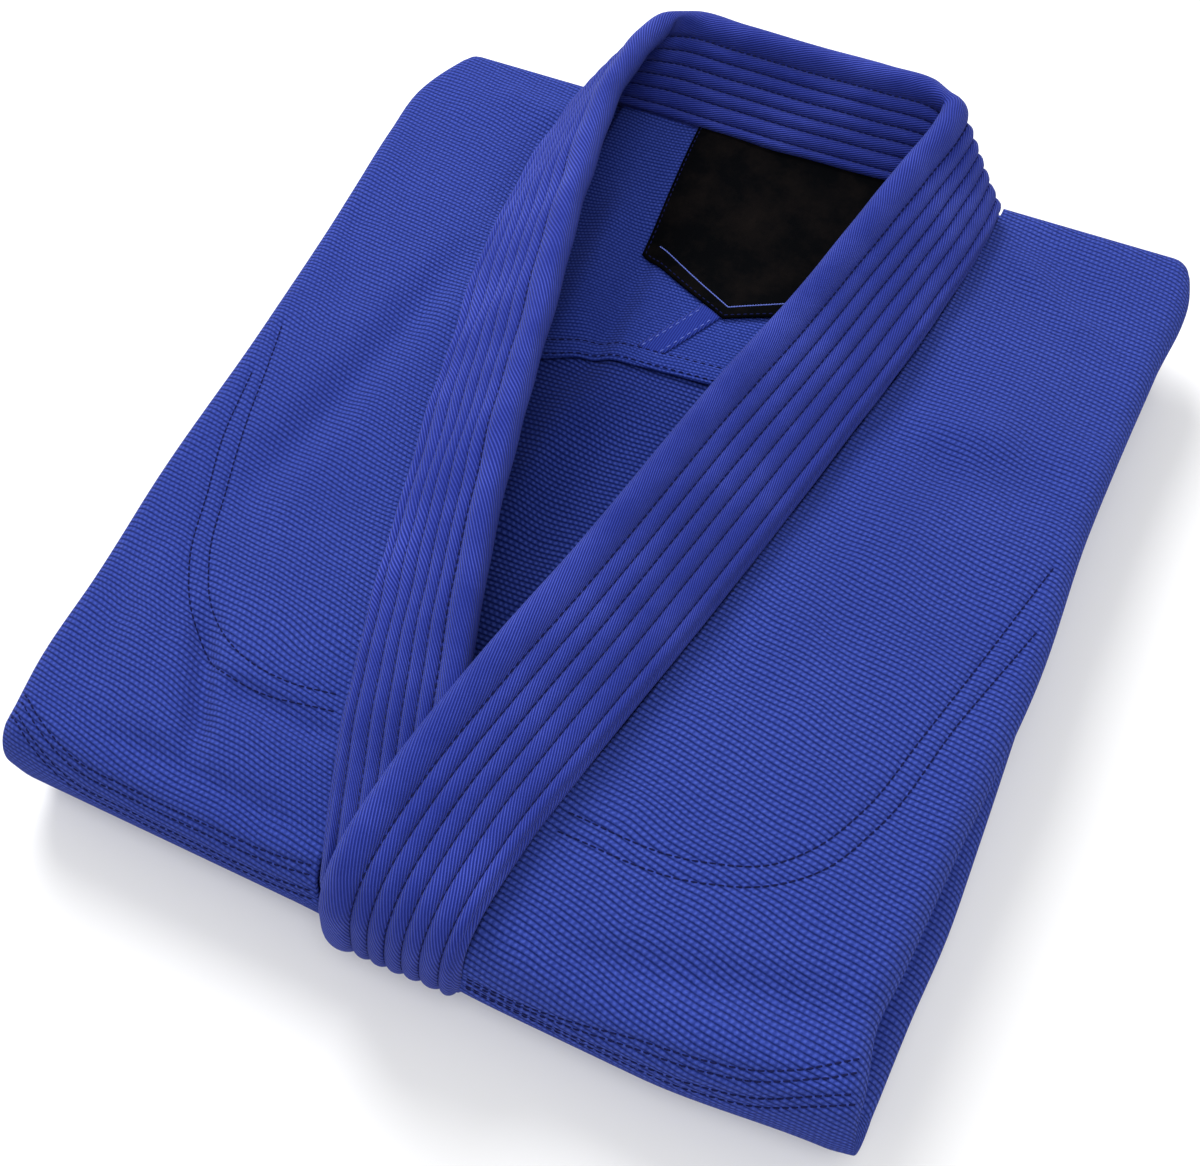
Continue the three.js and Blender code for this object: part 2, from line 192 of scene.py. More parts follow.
# ---- Fronts -------------------------------------------------------------------------------------
# A front is one cloth: from its collar seam across the body, round the folded side and back behind,
# and from the shoulder down to the waist fold, round it, and on to the hem under the jacket.
ROLL_UP = 22.0           # from the fold line to the outer face, above and below
INNER_UP = 4.5           # from the fold line to the folded-back part
RETURN = 56.0
SIDE_TURN = (ROLL_UP - INNER_UP) / 2
SHOULDER_TURN = 8.5
SHOULDER_TOP = 360.5     # where the flat of the fronts starts to turn over the shoulder
FLAT_COLUMNS = 90
SHOULDER_ROWS = 6
UPPER_ROWS = 200
FOLD_ROWS = 64
TURN_COLUMNS = 14
RETURN_COLUMNS = 8
CORNER = 0.75            # how square the fold's corners are


def front_rows():
    """Every row of a front: (part, distance along y, angle)."""
    shoulder_angles = np.linspace(math.pi / 2, 0.0, SHOULDER_ROWS + 1)[:-1]
    rows = [("shoulder", SHOULDER_TOP + 2, angle) for angle in shoulder_angles]
    rows += [("upper", y, 0.0) for y in np.linspace(SHOULDER_TOP, FOLD_Y, UPPER_ROWS)]
    rows += [("fold", FOLD_Y, angle) for angle in np.linspace(0.0, math.pi, FOLD_ROWS + 1)[1:]]
    rows += [("skirt", y, math.pi) for y in np.linspace(FOLD_Y, HEM_Y, 60)[1:]]
    return rows


# Soft folds of the fronts: start, end, width and height, in millimetres.
LEFT_FOLDS = [((150, 330), (60, 120), 26, 2.2),
              ((150, 225), (90, 222), 15, -2.4),
              ((135, 250), (80, 236), 10, 1.6),
              ((100, 170), (74, 95), 10, -1.3),
              ((155, 34), (36, 6), 8, -4.0),
              ((110, 350), (160, 240), 14, -1.8),
              ((96, 345), (150, 300), 8, 1.6)]
RIGHT_FOLDS = [((-150, 300), (-70, 190), 14, 2.4),
               ((-100, 280), (-126, 90), 9, -3.8),
               ((-114, 72), (-80, 14), 4.5, -5.0),
               ((-95, 44), (-38, 42), 5.0, -4.0),
               ((-128, 15), (-24, 10), 5.5, -3.6),
               ((-140, 90), (-118, 30), 8, 1.6),
               ((-165, 265), (-130, 200), 8, -1.6),
               ((-140, 350), (-95, 340), 9, 2.0),
               ((-105, 345), (-98, 262), 8, -2.2)]


def sag(x, y, side):
    """How the cloth of a front lies: soft folds over what is under it."""
    z = 0.8 * np.sin(x / 23.0 + 1.3 * side) * np.sin(y / 31.0 + 0.4)
    z += 0.35 * np.sin(x / 7.9 + y / 13.0)
    for start, end, width, height in LEFT_FOLDS if side > 0 else RIGHT_FOLDS:
        z += ridge(x, y, start, end, width, height)
    return z + sunk_seam(x, y, side)


# The chest lining's two seam rows on each front, from the folded side round to the collar's seam.
CHEST_SEAMS = {
    1: (((153, 201), (129.5, 120), (120, 89), (111, 72.5), (100, 61.5), (79, 53), (33, 50.5)),
        ((154, 174), (139, 130), (126, 86), (114, 65), (100, 54), (82, 47), (33, 43.5))),
    -1: (((-154, 188), (-148.5, 170), (-141, 142), (-131, 111), (-121, 85), (-106, 65), (-92, 57),
          (-70, 53.5), (-49, 57)),
         ((-152, 163), (-144, 128), (-137, 109), (-127, 82), (-112, 61), (-98, 50), (-78, 47), (-48, 51)))}


def along_places(places, step=1.5):
    """Places at even steps along a smooth curve through some places."""
    places = np.array(places, float)
    distance = arc_lengths(places[:, None], 0)[:, 0]
    return curve_through(distance, places, np.arange(0, distance[-1], step))


def sunk_seam(x, y, side):
    """Each stitch row pulls the cloth down a little."""
    z = np.zeros_like(x)
    for places in CHEST_SEAMS[side]:
        curve = along_places(places)
        away = np.hypot(x[:, None] - curve[:, 0], y - curve[:, 1]).min(axis=1)
        z -= 0.8 * np.exp(-(away / 1.7) ** 2)
    return z


def front_section(part, y, angle, side):
    """For each column of a row: x, height from the fold line, and angle round the folded side."""
    upper_edge = curve_through(*(LEFT_EDGE if side > 0 else RIGHT_EDGE), y)
    skirt_edge = curve_through(*(SKIRT_LEFT_EDGE if side > 0 else SKIRT_RIGHT_EDGE), y)
    upper_seam = curve_through(*(LEFT_SEAM if side > 0 else RIGHT_SEAM), y)
    tail_seam = curve_through(*(TAIL_LEFT_SEAM if side > 0 else TAIL_RIGHT_SEAM), y)
    share = smooth(angle / math.pi)
    edge = upper_edge + (skirt_edge - upper_edge) * share
    seam = upper_seam + (tail_seam - upper_seam) * share
    if part in ("shoulder", "upper"):
        edge, seam = upper_edge, upper_seam
    turn = SIDE_TURN
    bend_x = edge - side * turn
    t = np.linspace(0, 1, FLAT_COLUMNS)
    psi = np.linspace(0, math.pi, TURN_COLUMNS + 1)[1:]
    back = np.linspace(0, 1, RETURN_COLUMNS + 1)[1:]
    x = np.concatenate([seam + side * 1.0 + (bend_x - seam - side) * t,
                        bend_x + side * turn * np.sin(psi),
                        bend_x - side * RETURN * back])
    up = np.concatenate([np.full(FLAT_COLUMNS, ROLL_UP),
                         ROLL_UP - turn * (1 - np.cos(psi)),
                         np.full(RETURN_COLUMNS, INNER_UP)])
    psi_all = np.concatenate([np.zeros(FLAT_COLUMNS), psi, np.full(RETURN_COLUMNS, math.pi)])
    return x, up, psi_all


def nose_share(x):
    """How far the waist fold stands out: less on the wearer's right, and less towards both corners."""
    whole = 0.70 + 0.16 * smooth((x + 40.0) / 80.0)
    return whole - 0.22 * smooth((x - 85.0) / 65.0)


# The first waist stitch row on each front: places across, and how far along the cloth from the fold line.
WAIST_ROW = {1: ([20, 50, 62, 82, 100, 118, 134, 146], [22, 21.5, 19.5, 15, 12, 7, -2.5, -10]),
             -1: ([-146, -133, -120, -99, -78, -44, -26], [-4, 4, 10, 11.5, 12, 11, 7.5])}
WAIST_STEPS = (0.0, 3.6, 9.6, 13.2)


def waist_spread(x):
    """The rows draw together towards the collar on the left front and at the corner of the right one."""
    return np.where(x > 0, 0.45 + 0.6 * smooth((x - 40) / 60.0), 1.0 - 0.3 * smooth((-x - 120) / 30.0))


def cloth_per_turn(x):
    """Millimetres of cloth for each radian round the waist fold."""
    return ROLL_UP * (1 + nose_share(x)) / 2


def welt(x, angle, side):
    """The waist seam's rows pull the cloth down round the fold, with a raised band between them."""
    along = angle * cloth_per_turn(x)
    first = curve_through(*WAIST_ROW[side], x)
    lift = np.zeros_like(x)
    for step in WAIST_STEPS:
        away = along - first - step * waist_spread(x)
        lift -= 0.7 * np.exp(-(away / 1.3) ** 2)
    return lift


def front_points(side):
    grid = []
    middle_up = (ROLL_UP + INNER_UP) / 2
    for part, y, angle in front_rows():
        x, up, psi = front_section(part, y, angle, side)
        lift = sag(x, y, side) * smooth((up - middle_up) / 8.0)
        lift *= smooth((SHOULDER_Y + 6 - y) / 30.0)
        if part == "shoulder":
            flat_y = SHOULDER_TOP
            centre = FOLD_Z + middle_up
            px = x
            py = flat_y + SHOULDER_TURN * math.sin(angle) * np.abs(np.cos(psi))
            pz = centre + (up - middle_up) * math.cos(angle)
        elif part == "upper":
            px, py, pz = x, np.full_like(x, y), FOLD_Z + up + lift
        elif part == "fold":
            seam_lift = welt(x, angle, side) * smooth((up - middle_up) / 8.0)
            reach = up + lift * (1 - smooth(angle / 1.2)) + seam_lift
            px = x
            squared = CORNER * (ROLL_UP - up) * np.sin(psi)
            py = FOLD_Y - (reach + squared) * math.sin(angle) * nose_share(x)
            pz = FOLD_Z + reach * math.cos(angle)
        else:
            px, py, pz = x, np.full_like(x, y), FOLD_Z - up
        grid.append(np.stack([px, py, pz], axis=-1))
    return np.array(grid)


def cloth_uv(points, column=0):
    """Distances along the cloth, measured down one column, so that a weave keeps its scale round folds."""
    u = arc_lengths(points, 1)
    v = arc_lengths(points, 0)[:, column:column + 1]
    return np.stack([u, np.broadcast_to(v, u.shape)], axis=-1)


# ---- Collar: one padded strip, up the left lapel, round the neck and down the right ----------------
NOSE = 0.68              # the collar turns round the waist fold in a flattened half circle
COLLAR_FOLD_RISE = 2.5   # how far the middle of that turn is above the fronts' own


def fold_turn(x_from, x_to, up_from, up_to, down, angles, fold_y=9.0):
    """Places along a strip's edge as it turns round the waist fold, from above it to below."""
    places = []
    for angle in angles:
        share = angle / math.pi
        up = up_from + (up_to - up_from) * smooth(share * 2)
        up = up + (down - up) * smooth(share * 2 - 1)
        x = x_from + (x_to - x_from) * share
        y = fold_y - NOSE * up * math.sin(angle)
        z = FOLD_Z + COLLAR_FOLD_RISE + up * math.cos(angle)
        places.append((x, y, z))
    return places


TURN_ANGLES = [math.radians(a) for a in (165, 140, 115, 90, 65, 40, 15)]
OUTER_UP = 24.5          # the left lapel's middle, from the fold line
INNER_LAPEL_UP = 13.0    # the right lapel's, inside it

# Each lapel: the places of its seam and of its rim, from the neck down to the fold.
LEFT_SEAM_PATH = [(88, 350, 49), (86.5, 325, 49.5), (79, 275, 50), (69, 224, 50), (55, 157, 50),
                  (41, 95, 50), (33, 60, 50), (27.5, 32, 50)]
LEFT_RIM_PATH = [(55.5, 360, 83), (49.5, 334, 80), (41, 300, 75), (33, 264, 71.5), (20, 213, 69),
                 (2.5, 128, 67), (-9, 80, 65.5), (-18, 36, 62)]
RIGHT_SEAM_PATH = [(-96, 350, 49), (-97.5, 325, 49), (-96.5, 280, 49.5), (-91, 238, 49.5), (-82, 198, 49.5),
                   (-76, 170, 49), (-61, 110, 48.5), (-50.5, 72, 48), (-38, 35, 47)]
RIGHT_RIM_PATH = [(-66, 358, 88.5), (-67, 338, 90), (-64, 303, 88), (-58.5, 273, 85), (-51, 238, 82),
                  (-42, 198, 78), (-33, 155, 73), (-18, 98, 62), (-1, 45, 52)]
BAND_SEAM_PATH = [(87, 356, 48.5), (66, 357, 48), (30, 356, 48), (0, 355.5, 48), (-36, 356, 48),
                  (-70, 357, 48), (-91, 356, 49)]
BAND_RIM_PATH = [(56, 370, 83.5), (50, 378.5, 83.5), (28, 381, 83.5), (0, 381, 83.5), (-34, 381.5, 84),
                 (-56, 379.5, 85.5), (-64, 371, 87)]


def collar_paths():
    left_seam = [(14, HEM_Y - 2, 5.6), (19, 170, 5.6), (22.5, 30, 5.6)]
    left_rim = [(-33, HEM_Y - 2, 5.6), (-28, 170, 5.6), (-24.5, 30, 5.6)]
    left_seam += fold_turn(25, 22.5, OUTER_UP, OUTER_UP, 21.5, TURN_ANGLES)
    left_rim += fold_turn(-20, -24.5, 34, 25, 21.5, TURN_ANGLES)
    left_seam += LEFT_SEAM_PATH[::-1]
    left_rim += LEFT_RIM_PATH[::-1]
    right_seam = list(RIGHT_SEAM_PATH)
    right_rim = list(RIGHT_RIM_PATH)
    turn = TURN_ANGLES[::-1]
    right_seam += fold_turn(-26, -20, INNER_LAPEL_UP + 8, INNER_LAPEL_UP, 13.5, turn)
    right_rim += fold_turn(14, 26, INNER_LAPEL_UP + 11, INNER_LAPEL_UP, 13.5, turn)
    right_seam += [(-19, 30, 12), (-17, 170, 12), (-13, HEM_Y - 2, 12)]
    right_rim += [(27, 30, 12), (29, 170, 12), (33, HEM_Y - 2, 12)]
    seam = np.array(left_seam + BAND_SEAM_PATH + right_seam, float)
    rim = np.array(left_rim + BAND_RIM_PATH + right_rim, float)
    return seam, rim


def quilted_half(across):
    """Half the collar's thickness, from its seam to the start of its roll: pillows between stitch rows."""
    thick = np.full_like(across, 3.0)
    for low, high in zip([PIPING_FROM] + QUILT_ROWS, QUILT_ROWS):
        inside = (across >= low) & (across <= high)
        t = (across - low) / (high - low)
        thick = np.where(inside, 2.3 + 1.95 * np.abs(np.sin(math.pi * t)) ** 0.5, thick)
    return thick


def collar_section():
    """The strip's outline: places across it and heights from its middle, outer face, roll and inner face."""
    flat = np.union1d(np.arange(PIPING_FROM, ROLL_FROM, 0.6), QUILT_ROWS)
    up = quilted_half(flat)
    roll_half = (LAPEL_WIDTH - ROLL_FROM) / 2
    angle = np.linspace(math.pi * 0.86, -math.pi * 0.86, 25)
    roll_x = ROLL_FROM + roll_half + roll_half * np.cos(angle)
    roll_up = np.sign(np.sin(angle)) * 5.1 * np.abs(np.sin(angle)) ** 0.75
    edge = np.linspace(math.pi / 2, -math.pi / 2, 7)
    seam_x = PIPING_FROM - 2.3 * np.cos(edge)
    seam_up = 2.3 * np.sin(edge)
    across = np.concatenate([flat, roll_x, flat[::-1], seam_x[::-1][1:-1]])
    height = np.concatenate([up, roll_up, -up[::-1], seam_up[::-1][1:-1]])
    return across, height


COLLAR_STEP = 1.6
FLOOR_CLEAR = 0.6
seam_path, rim_path = collar_paths()
collar_places = arc_lengths((0.62 * rim_path + 0.38 * seam_path)[:, None], 0)[:, 0]


def collar_frame(distance):
    """The seam, the rim and the outward normal of the strip at distances along it."""
    seam = curve_through(collar_places, seam_path, distance)
    rim = curve_through(collar_places, rim_path, distance)
    across = rim - seam
    across /= np.linalg.norm(across, axis=-1, keepdims=True)
    ahead = curve_through(collar_places, (seam_path + rim_path) / 2, distance + 1.0)
    behind = curve_through(collar_places, (seam_path + rim_path) / 2, distance - 1.0)
    along = ahead - behind
    along /= np.maximum(np.linalg.norm(along, axis=-1, keepdims=True), 1e-9)
    normal = np.cross(across, along)
    normal /= np.linalg.norm(normal, axis=-1, keepdims=True)
    return seam, rim, across, normal


def collar_point(distance, across_mm, height):
    """A place on the strip: across_mm from its seam, of LAPEL_WIDTH, and height out of its middle."""
    seam, rim, _, normal = collar_frame(distance)
    share = np.asarray(across_mm)[..., None] / LAPEL_WIDTH
    wobble = 0.35 * np.sin(distance / 11.0 + across_mm / 9.0) + 0.25 * np.sin(distance / 5.3)
    point = seam + (rim - seam) * share + normal * (height + wobble)[..., None]
    # Where the strip lies on the floor it is pressed flat.
    point[..., 2] = np.maximum(point[..., 2], FLOOR_CLEAR)
    return point


collar_length = collar_places[-1]


def build_collar():
    distances = np.linspace(0.5, collar_length - 0.5, int(collar_length / COLLAR_STEP))
    across, height = collar_section()
    d, a = np.meshgrid(distances, across, indexing="ij")
    h = np.broadcast_to(height, d.shape)
    points = collar_point(d.ravel(), a.ravel(), h.ravel()).reshape(d.shape + (3,))
    rows, columns = d.shape
    around = arc_lengths(np.stack([across, height, 0 * across], axis=-1)[None], 1)[0]
    uv = np.stack([np.broadcast_to(around, d.shape), d], axis=-1).reshape(-1, 2)
    faces = grid_faces(rows, columns, wrap=True)
    faces.append(tuple(range(columns))[::-1])
    last = (rows - 1) * columns
    faces.append(tuple(range(last, last + columns)))
    return make_mesh("collar_strip", points.reshape(-1, 3), faces, uv)


# ---- Stitches -----------------------------------------------------------------------------------
def stitch_mesh(name, rows, length=2.5, gap=0.85, radius=0.42, sunk=0.12):
    """Stitches along rows of (points, normals): each is a short thread, bowed out of the cloth."""
    rings = [(-0.5, 0.25, -0.5), (-0.36, 0.85, 0.1), (0.0, 1.0, 0.35), (0.36, 0.85, 0.1), (0.5, 0.25, -0.5)]
    sides = 6
    vertices, faces = [], []
    for points, normals in rows:
        steps = np.linalg.norm(np.diff(points, axis=0), axis=1)
        distance = np.concatenate([[0], np.cumsum(steps)])
        middles = np.arange(length, distance[-1] - length, length + gap)
        if len(middles) == 0:
            continue

        def at(where, values):
            return np.stack([np.interp(where, distance, values[:, k]) for k in range(3)], axis=-1)

        centre = at(middles, points)
        up = at(middles, normals)
        along = at(middles + 0.5, points) - at(middles - 0.5, points)
        along /= np.maximum(np.linalg.norm(along, axis=1, keepdims=True), 1e-9)
        up -= along * np.sum(along * up, axis=1, keepdims=True)
        up /= np.maximum(np.linalg.norm(up, axis=1, keepdims=True), 1e-9)
        side = np.cross(along, up)
        first = len(vertices)
        block = []
        for place, thick, raised in rings:
            for k in range(sides):
                turn = 2 * math.pi * k / sides
                offset = side * math.cos(turn) + up * math.sin(turn)
                block.append(centre + along * place * length + offset * radius * thick
                             + up * (radius * raised - sunk))
        block = np.stack(block, axis=1).reshape(-1, 3)
        vertices.extend(block.tolist())
        per = len(rings) * sides
        for s in range(len(middles)):
            base = first + s * per
            for r in range(len(rings) - 1):
                for k in range(sides):
                    a = base + r * sides + k
                    b = base + r * sides + (k + 1) % sides
                    faces.append((a, a + sides, b + sides, b))
            faces.append(tuple(base + k for k in range(sides)))
            end = base + per - sides
            faces.append(tuple(end + k for k in reversed(range(sides))))
    return make_mesh(name, np.array(vertices), faces)


def surface_lookup(points):
    """Finds the place and normal on a grid of points nearest above each (x, y)."""
    normals = normals_of(points)
    flat = points.reshape(-1, 3)
    flat_normals = normals.reshape(-1, 3)

    def find(places):
        places = np.asarray(places, float)
        found, ups = [], []
        for x, y in places:
            distance = (flat[:, 0] - x) ** 2 + (flat[:, 1] - y) ** 2
            near = np.argsort(distance)[:6]
            weight = 1.0 / (distance[near] + 0.3)
            weight /= weight.sum()
            up = (flat_normals[near] * weight[:, None]).sum(axis=0)
            up = up if up[2] > 0 else -up
            found.append((x, y, (flat[near, 2] * weight).sum()))
            ups.append(up / np.linalg.norm(up))
        return np.array(found), np.array(ups)
    return find


# ---- Cloth with a thickness ---------------------------------------------------------------------
def shell_piece(name, points, outward, thickness, uv=None):
    """A cloth whose outer face is the grid, with an inner face and turned edges."""
    rows, columns = points.shape[:2]
    inner = points - normals_of(points) * outward * thickness
    count = rows * columns
    flip = outward < 0
    faces = grid_faces(rows, columns, flip=flip)
    faces += [tuple(count + k for k in face[::-1]) for face in grid_faces(rows, columns, flip=flip)]
    edge = list(range(columns)) + [i * columns + columns - 1 for i in range(1, rows)]
    edge += [(rows - 1) * columns + j for j in range(columns - 2, -1, -1)]
    edge += [i * columns for i in range(rows - 2, 0, -1)]
    for a, b in zip(edge, edge[1:] + edge[:1]):
        face = (b, a, a + count, b + count)
        faces.append(face[::-1] if flip else face)
    if uv is None:
        uv = cloth_uv(points)
    flat_uv = uv.reshape(-1, 2)
    return make_mesh(name, np.concatenate([points.reshape(-1, 3), inner.reshape(-1, 3)]), faces,
                     np.concatenate([flat_uv, flat_uv]))


def laid_grid(left, right, from_y, to_y, height, columns=24, rows=24):
    """A grid between two edges, which are numbers or functions of y, at height(x, y)."""
    y = np.linspace(from_y, to_y, rows)
    low = left(y) if callable(left) else np.full(rows, float(left))
    high = right(y) if callable(right) else np.full(rows, float(right))
    t = np.linspace(0, 1, columns)
    x = low[:, None] + (high - low)[:, None] * t
    yy = np.broadcast_to(y[:, None], x.shape)
    return np.stack([x, yy, height(x, yy)], axis=-1)


# ---- Inside the neck ----------------------------------------------------------------------------
BACK_Z = 33.5
YOKE_Y = 232.0
YOKE_RIGHT = -80.0       # the yoke lining's two ends, under the lapels
YOKE_LEFT = 76.0
NECK_Y = 357.0


def back_height(x, y):
    """The back, seen inside the neck: low at the chest, rising to the neck seam, with soft folds."""
    z = BACK_Z + 13.5 * smooth((y - 278) / (NECK_Y - 278)) ** 1.15
    z = z + ridge(x, y, (-62, 330), (-52, 215), 9, 4.0)
    z = z + ridge(x, y, (-40, 320), (-36, 200), 5, -2.6)
    z = z + ridge(x, y, (-34, 232), (-38, 120), 8, 2.4)
    z = z + ridge(x, y, (-14, 225), (-20, 110), 10, -1.6)
    z = z + 0.5 * np.sin(x / 13.0 + 0.6) * np.sin(y / 19.0)
    return z


def yoke_edge_y(x):
    return YOKE_Y + 0.09 * (x + 20) - 9.0 * smooth((-x - 30) / 30.0)


def back_points():
    """The back: its inner face inside the neck, over the neck seam, and down behind."""
    x = np.linspace(-142, 142, 96)
    rows = []
    for y in np.linspace(14, NECK_Y, 120):
        yy = np.full_like(x, y)
        z = back_height(x, yy)
        outside = smooth((np.abs(x) - 89) / 6.0)
        rows.append(np.stack([x, yy, z + (np.minimum(z, BACK_Z + 2) - z) * outside], axis=-1))
    top = rows[-1][:, 2]
    for angle in np.linspace(0.0, math.pi, 14)[1:]:
        low = 28.5
        middle = (top + low) / 2
        half = (top - low) / 2
        z = middle + half * math.cos(angle)
        y = NECK_Y - 2 + 7.0 * math.sin(angle)
        rows.append(np.stack([x, np.full_like(x, y), z], axis=-1))
    for y in np.linspace(NECK_Y - 2, 60, 30)[1:]:
        rows.append(np.stack([x, np.full_like(x, y), np.full_like(x, 28.5)], axis=-1))
    return np.array(rows)


LABEL_X = 1.5
LABEL_HALF = 44.5
LABEL_TOP = 356.0
LABEL_SHOULDER = 289.0
LABEL_TIP = 268.0


def label_points(lift=1.4, shrink=0.0, rows=40, columns=45):
    u = np.linspace(-1, 1, columns)
    half = LABEL_HALF - shrink
    foot = LABEL_TIP + shrink * 1.2 + (LABEL_SHOULDER - LABEL_TIP) * np.abs(u)
    top = LABEL_TOP - 0.4 * shrink
    v = np.linspace(0, 1, rows)[:, None]
    x = np.broadcast_to(LABEL_X + half * u, (rows, columns)) + 1.5 * (1 - v)
    y = foot + (top - foot) * v
    return np.stack([x, y, back_height(x, y) + lift], axis=-1)


# ---- Materials ----------------------------------------------------------------------------------
class Nodes:
    """A short way to write a node material."""

    def __init__(self, name, roughness, sheen=0.25, sheen_roughness=0.45, specular=0.25):
        self.material = bpy.data.materials.new(name)
        self.material.use_nodes = True
        self.tree = self.material.node_tree
        self.shader = self.tree.nodes["Principled BSDF"]
        self.shader.inputs["Roughness"].default_value = roughness
        self.shader.inputs["Sheen Weight"].default_value = sheen
        self.shader.inputs["Sheen Roughness"].default_value = sheen_roughness
        self.shader.inputs["Sheen Tint"].default_value = (0.55, 0.62, 1.0, 1.0)
        self.shader.inputs["Specular IOR Level"].default_value = specular

    def put(self, socket, value):
        if isinstance(value, bpy.types.NodeSocket):
            self.tree.links.new(value, socket)
        else:
            socket.default_value = value

    def math(self, operation, a, b=0.0, clamp=False):
        node = self.tree.nodes.new("ShaderNodeMath")
        node.operation = operation
        node.use_clamp = clamp
        self.put(node.inputs[0], a)
        self.put(node.inputs[1], b)
        return node.outputs[0]

    def cloth_place(self):
        uv = self.tree.nodes.new("ShaderNodeUVMap")
        uv.uv_map = "cloth"
        split = self.tree.nodes.new("ShaderNodeSeparateXYZ")
        self.tree.links.new(uv.outputs[0], split.inputs[0])
        return split.outputs[0], split.outputs[1]

    def noise(self, vector, scale, detail=3.0, roughness=0.55):
        node = self.tree.nodes.new("ShaderNodeTexNoise")
        node.inputs["Scale"].default_value = scale
        node.inputs["Detail"].default_value = detail
        node.inputs["Roughness"].default_value = roughness
        self.put(node.inputs["Vector"], vector)
        return node.outputs["Fac"]

    def place(self):
        return self.tree.nodes.new("ShaderNodeTexCoord").outputs["Object"]

    def wave(self, value, wavelength, phase=0.0):
        turned = self.math("MULTIPLY", value, 2 * math.pi / wavelength)
        return self.math("SINE", self.math("ADD", turned, phase))

    def mix(self, factor, a, b):
        node = self.tree.nodes.new("ShaderNodeMix")
        node.data_type = "RGBA"
        self.put(node.inputs["Factor"], factor)
        self.put(node.inputs["A"], a)
        self.put(node.inputs["B"], b)
        return node.outputs["Result"]

    def finish(self, colour, height, distance, strength=1.0):
        self.put(self.shader.inputs["Base Color"], colour)
        bump = self.tree.nodes.new("ShaderNodeBump")
        bump.inputs["Strength"].default_value = strength
        bump.inputs["Distance"].default_value = distance
        self.put(bump.inputs["Height"], height)
        self.put(self.shader.inputs["Normal"], bump.outputs[0])
        return self.material


# BLUE_DEEP and TWILL_DEEP are painted shade in the weaves' hollows; BLUE_LIGHT and TWILL_LIGHT are a painted
# highlight on their raised tops.
BLUE_DEEP = (0.006, 0.013, 0.115, 1.0)
BLUE = (0.037, 0.068, 0.42, 1.0)
BLUE_LIGHT = (0.105, 0.160, 0.66, 1.0)
TWILL_DEEP = (0.012, 0.022, 0.20, 1.0)
TWILL = (0.032, 0.054, 0.37, 1.0)
TWILL_LIGHT = (0.090, 0.130, 0.66, 1.0)
THREAD = (0.006, 0.008, 0.05, 1.0)
THREAD_LIGHT = (0.12, 0.17, 0.62, 1.0)


def pearl_weave(name, row=1.95 * MM, bead=2.0 * MM, tilt=0.0, rise=0.9,
                deep=BLUE_DEEP, mid=BLUE, light=BLUE_LIGHT):
    """Rows of raised beads, each row half a bead from the next, along the cloth, with painted shade between
    the rows and a painted highlight on the beads' tops in random faded patches.
    """
    n = Nodes(name, 0.86, sheen=0.06, specular=0.05)
    u, v = n.cloth_place()
    place = n.place()
    drift = n.math("MULTIPLY", n.math("SUBTRACT", n.noise(place, 16.0, 2.0), 0.5), 0.010)
    along = n.math("ADD", n.math("MULTIPLY", v, math.cos(tilt)), n.math("MULTIPLY", u, math.sin(tilt)))
    across = n.math("SUBTRACT", n.math("MULTIPLY", u, math.cos(tilt)), n.math("MULTIPLY", v, math.sin(tilt)))
    rows = n.wave(n.math("ADD", along, drift), 2 * row)
    slanted = n.math("ADD", across, n.math("MULTIPLY", along, 0.22))
    beads = n.wave(n.math("ADD", slanted, n.math("MULTIPLY", drift, 0.6)), bead)
    lattice = n.math("MULTIPLY", rows, beads)
    ribs = n.math("POWER", n.math("ABSOLUTE", rows), 0.6)
    height = n.math("ADD", n.math("MULTIPLY", lattice, 0.15), n.math("MULTIPLY", ribs, 0.66))
    fibre = n.noise(place, 1300.0, 4.0, 0.8)
    height = n.math("ADD", height, n.math("MULTIPLY", n.math("SUBTRACT", fibre, 0.35), 0.85))
    # The colour darkens with the weave's height: painted shade between the rows of beads.
    shade = n.math("SUBTRACT", n.math("MULTIPLY", height, 1.3), 0.22, clamp=True)
    base = n.mix(shade, deep, mid)
    # Random faded patches, lighter on the beads' tops: real fading with a painted highlight.
    fade = n.noise(place, 7.0, 4.0, 0.6)
    patches = n.math("ADD", n.math("MULTIPLY", fade, 0.9), -0.1, clamp=True)
    wear_and_highlight = n.math("MULTIPLY", n.math("POWER", shade, 3.0), patches)
    colour = n.mix(wear_and_highlight, base, light)
    n.put(n.shader.inputs["Roughness"], n.math("SUBTRACT", 0.95, n.math("MULTIPLY", shade, 0.14)))
    return n.finish(colour, height, rise * MM)


